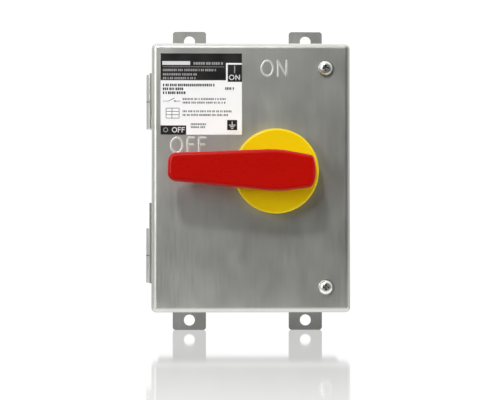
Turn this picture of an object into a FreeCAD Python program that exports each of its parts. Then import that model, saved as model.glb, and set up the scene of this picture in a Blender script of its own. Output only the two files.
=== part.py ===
import FreeCAD, Part
import math
import os

# Wall-mounted rotary safety disconnect switch in a stainless steel box. Millimetres.
# The wall is the plane y = 0 and the box stands out towards -Y. +Z is up. The cover hinges on the -X side.
# The origin is the centre of the four wall-mounting holes. The switch is off, with its lever towards -X.

# ---- driving sizes: box --------------------------------------------------------------------------
cover_width = 152.4
cover_height = 206.4
overall_depth = 101.6        # wall to the front of the cover
sheet = 1.5                  # stainless sheet of box and cover
cover_flange = 15.0          # how far the cover's rim reaches back over the box
bend_radius = 3.0            # outside radius of the box's bends
cover_bend = 4.0             # and of the cover's
cover_gap = 1.2              # between the cover's rim and the box wall
gasket_thickness = 4.0
gasket_width = 10.0
lip_width = 11.0             # rim turned in round the box's mouth

# ---- driving sizes: feet, hinges and cover screws ------------------------------------------------
foot_width = 27.3
foot_thickness = 2.0
foot_length = 44.4
foot_corner = 2.4
wall_hole_radius = 4.5
wall_hole_x = 47.625         # half the hole spacing along X
wall_hole_z = 114.3          # half the hole spacing along Z
foot_end_z = 122.4

hinge_x = -77.2
hinge_behind_rim = 4.6       # hinge axis behind the back edge of the cover's rim
knuckle_radius = 3.5
pin_radius = 1.5
pin_play = 0.06              # radial clearance of hinge pins and cover screws
hinge_centres = {"upper": 59.0, "lower": -59.8}
knuckle_length = 20.6
hinge_washer = 0.8
leaf_thickness = 1.6
leaf_reach = 16.0            # from the hinge axis to a leaf's far edge
long_leaf_tail = 19.6        # the lower cover leaf runs on above its knuckles

cover_screw_x = 57.0
cover_screw_z = {"upper": 83.8, "lower": -83.8}
screw_radius = 3.0
screw_head_radius = 5.6
screw_head_height = 3.8
screw_travel = 7.0           # how far a captive cover screw backs out

# ---- driving sizes: handle -----------------------------------------------------------------------
axis_x = 18.7                # handle and switch axis
axis_z = 4.7
plate_radius = 32.3
plate_height = 15.5
plate_edge = 2.0             # rounding of the plate's front rim
plate_gasket = 1.5
spigot_radius = 15.0
lever_front = 42.0           # cover face to lever front
lever_thickness = 16.0
lever_tip = 81.9             # axis to lever tip
lever_tip_half = 10.2
lever_waist_half = 15.9      # at the axis
lever_heel = 28.5
lever_heel_half = 12.0
lever_play_deg = 1.8         # the lever rests this far towards ON
hub_radius = 10.0
shaft_width = 8.0
running = 0.08               # radial clearance of turning parts

# ---- driving sizes: switch -----------------------------------------------------------------------
pole_pitch = 22.0
switch_half_width = 35.0
block_half_height = 26.0     # the rotor block
deck_half_height = 44.0      # the terminal decks beyond it
base_depth = 30.0
deck_depth = 15.8
housing_depth = 56.0
head_depth = 59.5
chamber_radius = 10.2
drum_radius = 9.7
blade_radius = 9.8
jaw_gap = 9.95               # axis to a fixed contact
crank_radius = 9.0
crank_pin_radius = 1.5
terminal_z = 35.0            # axis to the terminal screws

# ---- places worked out from them -----------------------------------------------------------------
face_y = -overall_depth
cover_inside_y = face_y + sheet
rim_back_y = face_y + cover_flange
gasket_back_y = cover_inside_y + gasket_thickness
lip_back_y = gasket_back_y + sheet
hinge_y = rim_back_y + hinge_behind_rim
overhang = sheet + cover_gap
box_half_x = cover_width / 2 - overhang
box_half_z = cover_height / 2 - overhang
box_back_y = -foot_thickness
floor_y = box_back_y - sheet
stud_collar = 6.1
panel_thickness = 1.9
panel_y = floor_y - stud_collar - panel_thickness
washer_thickness = 1.2
screw_seat_y = face_y - washer_thickness
bracket_y = -88.0
bracket_thickness = 1.5
plate_back_y = face_y - plate_gasket
plate_front_y = plate_back_y - plate_height
spigot_end_y = -88.0
hub_end_y = -92.0
shaft_tip_y = -98.5
lever_front_y = face_y - lever_front
lever_back_y = lever_front_y + lever_thickness
handle_axis = (axis_x, axis_z)
poles = {"left": axis_x - pole_pitch, "centre": axis_x, "right": axis_x + pole_pitch}


# ---- shape helpers -------------------------------------------------------------------------------
def block(x, y, z):
    """A box between (low, high) pairs."""
    low = FreeCAD.Vector(min(x), min(y), min(z))
    size = [max(pair) - min(pair) for pair in (x, y, z)]
    return Part.makeBox(*size, low)


def about(centre, half):
    """The (low, high) pair round a centre."""
    return (centre - half, centre + half)


def rod(axis, across, radius, span):
    """A cylinder along an axis. across is its place on the other two axes, in X, Y, Z order."""
    low, high = min(span), max(span)
    places = {"X": (low, *across), "Y": (across[0], low, across[1]), "Z": (*across, low)}
    directions = {"X": (1, 0, 0), "Y": (0, 1, 0), "Z": (0, 0, 1)}
    start = FreeCAD.Vector(*places[axis])
    return Part.makeCylinder(radius, high - low, start, FreeCAD.Vector(*directions[axis]))


def ring(axis, across, outer, inner, span):
    return rod(axis, across, outer, span).cut(rod(axis, across, inner, span))


def hexagon(across, flats, y):
    """A hexagonal prism along Y."""
    corner = flats / math.sqrt(3)
    points = []
    for i in range(7):
        turn = math.radians(60 * i)
        x, z = across[0] + corner * math.cos(turn), across[1] + corner * math.sin(turn)
        points.append(FreeCAD.Vector(x, min(y), z))
    return Part.Face(Part.makePolygon(points)).extrude(FreeCAD.Vector(0, max(y) - min(y), 0))


def cone_back(across, radius, end_radius, y):
    """A cone along Y, with its first radius at the lower y."""
    start = FreeCAD.Vector(across[0], min(y), across[1])
    return Part.makeCone(radius, end_radius, max(y) - min(y), start, FreeCAD.Vector(0, 1, 0))


def joined(shapes):
    return shapes[0].multiFuse(shapes[1:]).removeSplitter()


def straight_edges(shape, axis):
    """The edges that run along an axis."""
    index = "XYZ".index(axis)
    found = []
    for edge in shape.Edges:
        if edge.Curve.TypeId == "Part::GeomLine" and abs(abs(edge.Curve.Direction[index]) - 1) < 1e-6:
            found.append(edge)
    return found


def edges_at_y(shape, y):
    """The edges that lie in one plane across Y."""
    return [e for e in shape.Edges if abs(e.BoundBox.YMin - y) < 1e-4 and abs(e.BoundBox.YMax - y) < 1e-4]


def rounded_block(x, y, z, radius):
    """A box with its four edges along Y rounded."""
    made = block(x, y, z)
    return made.makeFillet(radius, straight_edges(made, "Y"))


def folded_tray(half_x, half_z, open_y, closed_y, bend):
    """A sheet tray open at open_y, with rounded bends round its closed side."""
    outer = rounded_block(about(0, half_x), (open_y, closed_y), about(0, half_z), bend)
    outer = outer.makeFillet(bend - 0.01, edges_at_y(outer, closed_y))
    inward = sheet if open_y > closed_y else -sheet
    inner_x, inner_z, inner_radius = half_x - sheet, half_z - sheet, bend - sheet
    inner = rounded_block(about(0, inner_x), (open_y, closed_y + inward), about(0, inner_z), inner_radius)
    inner = inner.makeFillet(inner_radius - 0.01, edges_at_y(inner, closed_y + inward))
    return outer.cut(inner)


# ---- box -----------------------------------------------------------------------------------------
def enclosure_body():
    """A folded tray whose mouth is turned in all round as a sealing lip."""
    tray = folded_tray(box_half_x, box_half_z, lip_back_y, box_back_y, bend_radius)
    lip_span = (lip_back_y, gasket_back_y)
    lip = rounded_block(about(0, box_half_x), lip_span, about(0, box_half_z), bend_radius)
    mouth_x, mouth_z = box_half_x - lip_width, box_half_z - lip_width
    mouth_corner = 6.0
    mouth = rounded_block(about(0, mouth_x), lip_span, about(0, mouth_z), mouth_corner)
    return joined([tray, lip.cut(mouth)])


def foot(x, side):
    """A flat tab welded behind the box, with a wall hole near its free end. side is 1 above and -1 below."""
    tab = block(
        (x - foot_width / 2, x + foot_width / 2),
        (-foot_thickness, 0),
        (side * (foot_end_z - foot_length), side * foot_end_z),
    )
    tab = tab.makeFillet(foot_corner, straight_edges(tab, "Y"))
    return tab.cut(rod("Y", (x, side * wall_hole_z), wall_hole_radius, (-foot_thickness, 0)))


def knuckle(low, high, bore):
    return ring("Z", (hinge_x, hinge_y), knuckle_radius, bore, (low, high))


def hinge_body_leaf(centre):
    """The box's half: the lower knuckle, which holds the pin, and a leaf welded to the side wall."""
    low, high = centre - knuckle_length - hinge_washer / 2, centre - hinge_washer / 2
    top = centre + knuckle_length + hinge_washer / 2
    leaf_x = (-box_half_x - leaf_thickness, -box_half_x)
    neck = block(leaf_x, (hinge_y, hinge_y + knuckle_radius + 1), (low, high))
    leaf = block(leaf_x, (hinge_y + knuckle_radius + 0.6, hinge_y + leaf_reach), (low, top))
    bore = rod("Z", (hinge_x, hinge_y), pin_radius, (low, high))
    return joined([knuckle(low, high, pin_radius), neck, leaf]).cut(bore)


def hinge_cover_leaf(centre, tail):
    """The cover's half: the upper knuckle, which turns on the pin, and a leaf welded to the cover's rim."""
    low, high = centre + hinge_washer / 2, centre + hinge_washer / 2 + knuckle_length
    bottom = centre - knuckle_length - hinge_washer / 2
    bore_radius = pin_radius + pin_play
    leaf_x = (-cover_width / 2 - leaf_thickness, -cover_width / 2)
    neck = block(leaf_x, (hinge_y - knuckle_radius - 1, hinge_y), (low, high))
    leaf = block(leaf_x, (hinge_y - leaf_reach, hinge_y - knuckle_radius - 0.8), (bottom, high + tail))
    bore = rod("Z", (hinge_x, hinge_y), bore_radius, (low, high))
    return joined([knuckle(low, high, bore_radius), neck, leaf]).cut(bore)


def hinge_pins():
    """One steel pin to each hinge, fixed in the box's knuckle."""
    reach = knuckle_length - 0.6
    return [rod("Z", (hinge_x, hinge_y), pin_radius, about(z, reach)) for z in hinge_centres.values()]


def hinge_washers():
    half = hinge_washer / 2
    across = (hinge_x, hinge_y)
    return [ring("Z", across, knuckle_radius, pin_radius, about(z, half)) for z in hinge_centres.values()]


def screw_brackets():
    """Angle brackets welded inside the right wall, which hold the nuts of the cover screws."""
    wall_x = box_half_x - sheet
    half = 9.0
    wall_leg = 17.0
    leg_x = (wall_x - bracket_thickness, wall_x)
    shelf_y = (bracket_y, bracket_y + bracket_thickness)
    made = []
    for z in cover_screw_z.values():
        shelf = block((cover_screw_x - half, wall_x), shelf_y, about(z, half))
        leg = block(leg_x, (bracket_y, bracket_y + wall_leg), about(z, half))
        made.append(joined([shelf, leg]).cut(rod("Y", (cover_screw_x, z), screw_radius + 0.5, shelf_y)))
    return made


def bracket_nuts():
    """Square nuts fixed behind the brackets."""
    half, thickness = 6.0, 4.5
    back = bracket_y + bracket_thickness
    span = (back, back + thickness)
    made = []
    for z in cover_screw_z.values():
        nut = block(about(cover_screw_x, half), span, about(z, half))
        made.append(nut.cut(rod("Y", (cover_screw_x, z), screw_radius + pin_play, span)))
    return made


# ---- sub-panel and earthing ----------------------------------------------------------------------
panel_half_x, panel_half_z = 66.0, 84.0
stud_x, stud_z = 58.0, 75.0
stud_radius = 2.5
stud_places = [(x, z) for x in about(0, stud_x) for z in about(0, stud_z)]
panel_nut_height = 4.0
earth_x, earth_low_z, earth_high_z = -47.0, -48.0, 12.0
earth_half_width, earth_height = 5.0, 8.0
earth_screw_places = [earth_low_z + 9 + 14 * i for i in range(4)]
ear_screw_x = 39.5
ear_screw_radius = 2.0


def mounting_panel():
    """A flat steel plate on four studs, which carries the switch and the earth bar."""
    span = (panel_y, panel_y + panel_thickness)
    panel = rounded_block(about(0, panel_half_x), span, about(0, panel_half_z), bend_radius)
    holes = [rod("Y", place, stud_radius + 0.3, span) for place in stud_places]
    holes += [rod("Y", (x, axis_z), ear_screw_radius, span) for x in about(axis_x, ear_screw_x)]
    return panel.cut(Part.makeCompound(holes))


def panel_studs():
    """Studs welded to the back of the box, each with a collar that holds the panel off it."""
    made = []
    for place in stud_places:
        collar = rod("Y", place, 5.0, (panel_y + panel_thickness, floor_y))
        made.append(joined([collar, rod("Y", place, stud_radius, (panel_y - 8, floor_y))]))
    return made


def panel_nuts():
    span = (panel_y - panel_nut_height, panel_y)
    return [hexagon(place, 8.0, span).cut(rod("Y", place, stud_radius, span)) for place in stud_places]


def earth_bar():
    span = (panel_y - earth_height, panel_y)
    bar = rounded_block(about(earth_x, earth_half_width), span, (earth_low_z, earth_high_z), 1.5)
    return bar.cut(Part.makeCompound([rod("Y", (earth_x, z), 2.0, span) for z in earth_screw_places]))


def slotted_screw(across, radius, head_radius, seat_y, head_height, tip_y):
    """A round-headed slotted screw along Y, with its head towards -Y."""
    head = rod("Y", across, head_radius, (seat_y - head_height, seat_y))
    head = head.makeFillet(head_height * 0.35, edges_at_y(head, seat_y - head_height))
    slot_half = head_radius * 0.13
    slot = block(
        (across[0] - slot_half, across[0] + slot_half),
        (seat_y - head_height, seat_y - head_height * 0.5),
        (across[1] - head_radius, across[1] + head_radius),
    )
    return joined([head.cut(slot), rod("Y", across, radius, (seat_y, tip_y))])


def earth_screws():
    seat = panel_y - earth_height
    return [slotted_screw((earth_x, z), 2.0, 4.0, seat, 2.6, seat + 6) for z in earth_screw_places]


# ---- switch: fixed parts -------------------------------------------------------------------------
def depths(low, high):
    """The y span between two distances in front of the panel."""
    return (panel_y - low, panel_y - high)


def at(x, side, distance):
    """A place on the switch, across (x) and above (side 1) or below (side -1) its axis."""
    return (x, axis_z + side * distance)


chamber_floor = 6.0
housing_screw_x = about(axis_x, 31.0)
housing_screw_z = about(axis_z, 23.0)
housing_screw_places = [(x, z) for x in housing_screw_x for z in housing_screw_z]
housing_screw_radius = 1.75
housing_screw_tip = 8.0
ear_thickness = 4.0
ear_reach = 9.0
ear_half_height = 7.0
ear_screw_places = [(x, axis_z) for x in about(axis_x, ear_screw_x)]
contact_thickness = 3.0
contact_half_width = 6.0
contact_play = 0.2
contact_bore = 2.6
jaw_half_width = 2.5
jaw_root = 13.0              # axis to where a contact widens
terminal_screw_radius = 2.4
terminal_screw_tip = 6.0
saddle_thickness = 2.5
saddle_half = 5.5
pocket_floor = 38.0          # the linkage pocket in the front of the housing
pocket_half_width = 33.0
pocket_half_height = 20.0
barrier_depth = 44.0
barrier_reach = 2.0          # past the deck's end
guard_thickness = 1.8
collar_height = 2.0
stub_radius = 5.0
neck_radius = 6.0
spring_half_length = 17.0
spring_inner = 6.15          # axis to a detent spring
spring_thickness = 0.8
rib_near, rib_far = 12.0, 18.0
rib_top = 9.0
saddle_front = deck_depth + contact_thickness + saddle_thickness
terminal_places = [at(x, side, terminal_z) for side in (1, -1) for x in poles.values()]
barrier_places = [axis_x - pole_pitch / 2, axis_x + pole_pitch / 2]


def screw_bores(low, high):
    """Through holes for the long screws that hold the switch together."""
    return [rod("Y", place, housing_screw_radius, depths(low, high)) for place in housing_screw_places]


def switch_block(half_height, low, high):
    return block(about(axis_x, switch_half_width), depths(low, high), about(axis_z, half_height))


def switch_base():
    """A moulded block with three rotor chambers, two terminal decks, and a fixing ear each side."""
    body = switch_block(block_half_height, 0, base_depth)
    decks = switch_block(deck_half_height, 0, deck_depth)
    ears_x = about(axis_x, switch_half_width + ear_reach)
    ears = block(ears_x, depths(0, ear_thickness), about(axis_z, ear_half_height))
    groove = depths(deck_depth, deck_depth + contact_thickness + contact_play)
    cuts = screw_bores(housing_screw_tip, base_depth)
    for x in poles.values():
        groove_x = about(x, contact_half_width + contact_play)
        cuts.append(rod("Y", (x, axis_z), chamber_radius, depths(chamber_floor, base_depth)))
        cuts.append(block(groove_x, groove, about(axis_z, deck_half_height)))
    for place in terminal_places:
        cuts.append(rod("Y", place, terminal_screw_radius, depths(terminal_screw_tip, deck_depth)))
    for place in ear_screw_places:
        cuts.append(rod("Y", place, ear_screw_radius, depths(0, ear_thickness)))
    return joined([body, decks, ears]).cut(Part.makeCompound(cuts))


def switch_housing():
    """The front half of the block: rotor bearings, and the pocket for the cranks and the slide bar."""
    pocket_y = depths(pocket_floor, housing_depth)
    pocket = block(about(axis_x, pocket_half_width), pocket_y, about(axis_z, pocket_half_height))
    bearing_y = depths(base_depth, pocket_floor)
    bearings = [rod("Y", (x, axis_z), stub_radius + running, bearing_y) for x in poles.values()]
    cuts = [pocket, *bearings, *screw_bores(base_depth, housing_depth)]
    return switch_block(block_half_height, base_depth, housing_depth).cut(Part.makeCompound(cuts))


def switch_head():
    """The lid over the linkage pocket, with a collar for the shaft and ribs behind the detent springs."""
    front = head_depth + collar_height
    lid = switch_block(block_half_height, housing_depth, head_depth)
    lid = lid.makeFillet(1.5, edges_at_y(lid, panel_y - head_depth))
    collar = rod("Y", handle_axis, neck_radius + 5, depths(head_depth, front))
    ribs = []
    for side_x in (-1, 1):
        for side_z in (-1, 1):
            rib_x = (axis_x + side_x * rib_near, axis_x + side_x * rib_far)
            rib_z = (axis_z + side_z * (spring_inner + spring_thickness), axis_z + side_z * rib_top)
            ribs.append(block(rib_x, depths(cam_span[0], housing_depth), rib_z))
    bore = rod("Y", handle_axis, neck_radius + running, depths(housing_depth, front))
    cuts = [bore, *screw_bores(housing_depth, head_depth)]
    return joined([lid, collar, *ribs]).cut(Part.makeCompound(cuts))


def detent_springs():
    """Two spring leaves that press on the flats of the centre rotor's cam."""
    span = depths(cam_span[0] + 0.3, cam_span[1] - 0.3)
    made = []
    for side in (-1, 1):
        leaf_z = (axis_z + side * spring_inner, axis_z + side * (spring_inner + spring_thickness))
        made.append(block(about(axis_x, spring_half_length), span, leaf_z))
    return made


def fixed_contacts(side):
    """Copper tongues from the terminals to the rotor chambers. side is 1 for line and -1 for load."""
    span = depths(deck_depth, deck_depth + contact_thickness)
    root_z = axis_z + side * jaw_root
    made = []
    for x in poles.values():
        tongue = block(about(x, contact_half_width), span, (root_z, axis_z + side * (deck_half_height - 1)))
        jaw = block(about(x, jaw_half_width), span, (axis_z + side * jaw_gap, root_z))
        made.append(joined([tongue, jaw]).cut(rod("Y", at(x, side, terminal_z), contact_bore, span)))
    return made


def terminal_saddles():
    """Square pressure plates under the terminal screws."""
    span = depths(deck_depth + contact_thickness, saddle_front)
    made = []
    for x, z in terminal_places:
        plate = rounded_block(about(x, saddle_half), span, about(z, saddle_half), 1.2)
        made.append(plate.cut(rod("Y", (x, z), contact_bore, span)))
    return made


def terminal_screws():
    seat, tip = depths(saddle_front, terminal_screw_tip + 2)
    return [slotted_screw(place, terminal_screw_radius, 4.6, seat, 3.5, tip) for place in terminal_places]


def phase_barriers():
    """Insulating walls that stand between the terminals."""
    made = []
    for side in (1, -1):
        wall_z = (axis_z + side * block_half_height, axis_z + side * (deck_half_height + barrier_reach))
        made += [block(about(x, 1.0), depths(deck_depth, barrier_depth), wall_z) for x in barrier_places]
    return made


def line_shroud():
    """A clear guard over the line terminals, open above for the wires, with a probe hole at each pole."""
    wall_z = (axis_z + block_half_height, axis_z + deck_half_height + barrier_reach)
    gap = 0.2
    front_depth = barrier_depth + gap + guard_thickness
    near, far = switch_half_width + gap, switch_half_width + gap + guard_thickness
    front = block(about(axis_x, far), depths(barrier_depth + gap, front_depth), wall_z)
    left = block((axis_x - far, axis_x - near), depths(deck_depth, front_depth), wall_z)
    right = block((axis_x + near, axis_x + far), depths(deck_depth, front_depth), wall_z)
    probe_y = depths(barrier_depth, front_depth)
    probes = [rod("Y", at(x, 1, terminal_z), 2.0, probe_y) for x in poles.values()]
    return joined([front, left, right]).cut(Part.makeCompound(probes))


def housing_screws():
    seat, tip = depths(head_depth, housing_screw_tip + 2)
    return [slotted_screw(place, housing_screw_radius, 3.0, seat, 1.8, tip) for place in housing_screw_places]


def switch_mounting_screws():
    seat, tip = depths(ear_thickness, -panel_thickness)
    return [slotted_screw(place, ear_screw_radius, 3.8, seat, 2.6, tip) for place in ear_screw_places]


# ---- switch: moving parts ------------------------------------------------------------------------
crank_offset = crank_radius * math.sqrt(0.5)   # the cranks rest 45 degrees one side of upright
blade_half_width = 2.5
blade_span = (deck_depth - 0.5, deck_depth + contact_thickness + 0.5)
drum_span = (7.0, 29.6)
stub_span = (29.0, 39.5)
crank_span = (39.0, 43.0)
crank_pin_span = (43.0, 49.4)
bar_span = (44.5, 48.5)
cam_span = (50.0, 54.0)
cam_half = 6.0
cam_neck_radius = 5.4        # between crank and cam
socket_floor = 46.0
rotor_front = head_depth + 4


def blade(x):
    """A copper bar across the rotor. It lies along X when off, and bridges the contacts when upright."""
    span = depths(*blade_span)
    bar = block(about(x, blade_radius), span, about(axis_z, blade_half_width))
    return bar.common(rod("Y", (x, axis_z), blade_radius, span))


def rotor(x, is_driven):
    """Drum, stub and crank. The driven rotor also has the detent cam and the socket for the shaft."""
    centre = (x, axis_z)
    pin_centre = (x - crank_offset, axis_z + crank_offset)
    pieces = [
        rod("Y", centre, drum_radius, depths(*drum_span)),
        rod("Y", centre, stub_radius, depths(*stub_span)),
        rod("Y", centre, crank_radius + 1.6, depths(*crank_span)),
        rod("Y", pin_centre, crank_pin_radius, depths(*crank_pin_span)),
    ]
    if not is_driven:
        return joined(pieces).cut(blade(x))
    pieces += [
        rod("Y", centre, cam_neck_radius, depths(crank_span[1], cam_span[0])),
        rounded_block(about(x, cam_half), depths(*cam_span), about(axis_z, cam_half), 2.5),
        rod("Y", centre, neck_radius, depths(cam_span[1], rotor_front)),
    ]
    half = shaft_width / 2
    socket = block(about(x, half), depths(socket_floor, rotor_front), about(axis_z, half))
    return joined(pieces).cut(Part.makeCompound([blade(x), socket]))


def slide_bar():
    """A flat bar with three open slots, which moves along X and turns the outer rotors with the centre."""
    span = depths(*bar_span)
    low, high = axis_z + 6.0, axis_z + 13.0
    slot_half = crank_pin_radius + 0.35
    slot_z = (low, axis_z + crank_radius + 2)
    pins_x = [x - crank_offset for x in poles.values()]
    end = 3.5
    slots = [block(about(x, slot_half), span, slot_z) for x in pins_x]
    return block((pins_x[0] - end, pins_x[-1] + end), span, (low, high)).cut(Part.makeCompound(slots))


interlock_pin_y = -90.0
interlock_pin_radius = 1.5
interlock_pin_half = 8.5


def switch_shaft():
    """A square steel shaft from the centre rotor to the handle, with a bevelled tip."""
    half = shaft_width / 2
    shaft = block(about(axis_x, half), (panel_y - socket_floor, shaft_tip_y), about(axis_z, half))
    shaft = shaft.makeChamfer(1.6, edges_at_y(shaft, shaft_tip_y))
    return shaft.cut(rod("X", (interlock_pin_y, axis_z), interlock_pin_radius, about(axis_x, half)))


def shaft_pin():
    """The cross pin that the interlock plate holds back while the switch is on."""
    return rod("X", (interlock_pin_y, axis_z), interlock_pin_radius, about(axis_x, interlock_pin_half))


# ---- cover ---------------------------------------------------------------------------------------
def cover():
    """A folded tray with holes for the handle and the two cover screws."""
    tray = folded_tray(cover_width / 2, cover_height / 2, rim_back_y, face_y, cover_bend)
    wall = (face_y, cover_inside_y)
    holes = [rod("Y", (cover_screw_x, z), screw_radius + 0.3, wall) for z in cover_screw_z.values()]
    holes.append(rod("Y", (axis_x, axis_z), spigot_radius + 0.3, wall))
    return tray.cut(Part.makeCompound(holes))


def cover_gasket():
    """A flat rubber frame glued inside the cover, which bears on the lip of the box."""
    inset = 1.5
    half_x, half_z = box_half_x - inset, box_half_z - inset
    span = (cover_inside_y, gasket_back_y)
    outer = rounded_block(about(0, half_x), span, about(0, half_z), bend_radius)
    inner_x, inner_z = half_x - gasket_width, half_z - gasket_width
    return outer.cut(rounded_block(about(0, inner_x), span, about(0, inner_z), 6.0))


def rating_label():
    """A square sticker in the cover's upper left corner."""
    centre_x, centre_z, half = -38.1, 64.0, 31.1
    return block(about(centre_x, half), (face_y - 0.3, face_y), about(centre_z, half))


def cover_washer(z):
    return ring("Y", (cover_screw_x, z), screw_head_radius + 0.6, screw_radius + 0.3, (screw_seat_y, face_y))


screw_tip_y = bracket_y + 6.5
retainer_front_y = cover_inside_y + screw_travel + 0.5
retainer_y = (retainer_front_y, retainer_front_y + 0.8)
recess_reach = 2.3           # the cross recess, from its centre to the end of an arm
recess_half = 0.7
recess_depth = 2.2
screw_dome = 3.4             # rounding of the screw's head


def cover_screw(z):
    """A captive round-head screw with a cross recess."""
    centre = (cover_screw_x, z)
    front_y = screw_seat_y - screw_head_height
    head = rod("Y", centre, screw_head_radius, (front_y, screw_seat_y))
    head = head.makeFillet(screw_dome, edges_at_y(head, front_y))
    across = [block(about(cover_screw_x, a), (front_y, front_y + recess_depth), about(z, b))
              for a, b in ((recess_reach, recess_half), (recess_half, recess_reach))]
    well = cone_back(centre, 2 * recess_half, recess_half, (front_y, front_y + recess_depth + 0.6))
    shank = rod("Y", centre, screw_radius, (screw_seat_y, screw_tip_y))
    shank = shank.makeChamfer(0.8, edges_at_y(shank, screw_tip_y))
    return joined([head.cut(Part.makeCompound([*across, well])), shank])


def screw_retainer(z):
    """A ring that keeps the screw in the cover. It travels with the screw, which turns in it."""
    return ring("Y", (cover_screw_x, z), screw_radius + 1.6, screw_radius + running, retainer_y)


# ---- handle --------------------------------------------------------------------------------------
clip_y = (-95.6, -94.6)
o_ring_y = (-109.0, -107.2)
hub_front_y = -131.0
socket_end_y = -100.0
mouth_depth = 3.8             # a wide mouth, which clears the shaft's tip as the cover swings
plate_bore = hub_radius + running
lever_screw_radius = 2.0
lever_screw_head = 3.8        # and the bore that its head lies in
head_seat_y = socket_end_y - 4
chamber_y = -96.5             # the clip lies in a chamber at the spigot's end
chamber_bore = 12.2


def handle_plate():
    """The round base, with a spigot that passes through the cover and holds the turning hub."""
    disc = rod("Y", handle_axis, plate_radius, (plate_front_y, plate_back_y))
    disc = disc.makeFillet(plate_edge, edges_at_y(disc, plate_front_y))
    spigot = rod("Y", handle_axis, spigot_radius, (plate_back_y, spigot_end_y))
    bore = rod("Y", handle_axis, plate_bore, (plate_front_y, spigot_end_y))
    chamber = rod("Y", handle_axis, chamber_bore, (chamber_y, spigot_end_y))
    return joined([disc, spigot]).cut(Part.makeCompound([bore, chamber]))


def handle_gasket():
    return ring("Y", handle_axis, plate_radius - 1.2, spigot_radius, (plate_back_y, face_y))


def handle_ring_nut():
    """A round nut with grip notches, which clamps the plate to the cover."""
    span = (cover_inside_y, cover_inside_y + 4)
    nut_radius, notch_count = 20.0, 12
    nut = ring("Y", handle_axis, nut_radius, spigot_radius, span)
    notch_reach = nut_radius + 0.4
    notches = []
    for i in range(notch_count):
        turn = math.radians(360 * i / notch_count)
        place = (axis_x + notch_reach * math.cos(turn), axis_z + notch_reach * math.sin(turn))
        notches.append(rod("Y", place, 1.6, span))
    return nut.cut(Part.makeCompound(notches))


def interlock_plate():
    """A steel disc on the spigot's end. Its keyhole passes the cross pin only when the switch is off."""
    span = (spigot_end_y, spigot_end_y + 1.5)
    disc = rod("Y", handle_axis, spigot_radius - 0.5, span)
    key_half = interlock_pin_radius + 0.7
    keyhole = block(about(axis_x, interlock_pin_half + 1.3), span, about(axis_z, key_half))
    return disc.cut(Part.makeCompound([keyhole, rod("Y", handle_axis, 6.8, span)]))


def drive_hub():
    """The hub that carries the lever and turns the shaft with its square socket."""
    hub = rod("Y", handle_axis, hub_radius, (hub_front_y, hub_end_y))
    half = shaft_width / 2 + 0.2
    socket = block(about(axis_x, half), (socket_end_y, hub_end_y), about(axis_z, half))
    mouth = cone_back(handle_axis, half + 1.4, half + 3.4, (hub_end_y - mouth_depth, hub_end_y))
    screw_bore = rod("Y", handle_axis, lever_screw_radius, (hub_front_y, socket_end_y))
    head_bore = rod("Y", handle_axis, lever_screw_head, (head_seat_y, socket_end_y))
    clip_groove = ring("Y", handle_axis, hub_radius, hub_radius - 1.2, clip_y)
    seal_groove = ring("Y", handle_axis, hub_radius, hub_radius - 1.4, o_ring_y)
    return hub.cut(Part.makeCompound([socket, mouth, screw_bore, head_bore, clip_groove, seal_groove]))


def hub_clip():
    """A spring clip, open on one side, that keeps the hub in the plate."""
    clip = ring("Y", handle_axis, 11.8, hub_radius - 1.2, clip_y)
    return clip.cut(block((axis_x - 2, axis_x + 2), clip_y, (axis_z, axis_z + 14)))


def hub_seal():
    return ring("Y", handle_axis, hub_radius + running / 2, hub_radius - 1.4, o_ring_y)


def lever_screw():
    """Holds the lever on the hub from behind."""
    head = rod("Y", handle_axis, lever_screw_head - running, (head_seat_y, head_seat_y + 3))
    shank = rod("Y", handle_axis, lever_screw_radius, (lever_front_y + 5, head_seat_y))
    return joined([head, shank])


lock_low, lock_high = -11.8, 8.4        # the padlock slide, across the lever
lock_near, lock_far = 34.0, 56.0        # and along it
lock_y = (lever_front_y + 6.0, lever_front_y + 10.0)
lock_hole_radius = 3.6
lock_hole_v = -4.8
lock_clearance = 0.3


def lever_point(along, across, y):
    """A point on the lever, given along it from the axis towards its tip and across it upwards."""
    return FreeCAD.Vector(axis_x - along, y, axis_z + across)


def rested(shape):
    """Turns a shape about the handle axis by the lever's play."""
    centre = FreeCAD.Vector(axis_x, 0, axis_z)
    return shape.rotated(centre, FreeCAD.Vector(0, 1, 0), lever_play_deg)


def lever_outline(y):
    """Straight flanks from tip to waist to heel, and a heel that follows the plate's rim."""
    heel_end = math.sqrt(lever_heel**2 - lever_heel_half**2)
    corners = [(-heel_end, lever_heel_half), (0, lever_waist_half), (lever_tip, lever_tip_half)]
    points = [lever_point(along, across, y) for along, across in corners]
    points += [lever_point(along, -across, y) for along, across in reversed(corners)]
    edges = [Part.LineSegment(a, b).toShape() for a, b in zip(points, points[1:])]
    edges.append(Part.Arc(points[-1], lever_point(-lever_heel, 0, y), points[0]).toShape())
    return Part.Face(Part.Wire(edges))


def lever_edges(shape, nearest, farthest):
    """The edges along Y whose distance along the lever lies in a range."""
    return [e for e in straight_edges(shape, "Y") if nearest <= axis_x - e.Vertexes[0].X <= farthest]


lever_tip_corner = 6.5
lever_waist_bend = 90.0      # the flanks meet at the waist in a long curve
lever_heel_corner = 4.0
lever_front_edge = 3.0
lever_back_edge = 1.5
neck_half = 12.0             # the neck between lever and plate
neck_left, neck_right = 27.0, 25.0
neck_gap = 0.3


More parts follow.
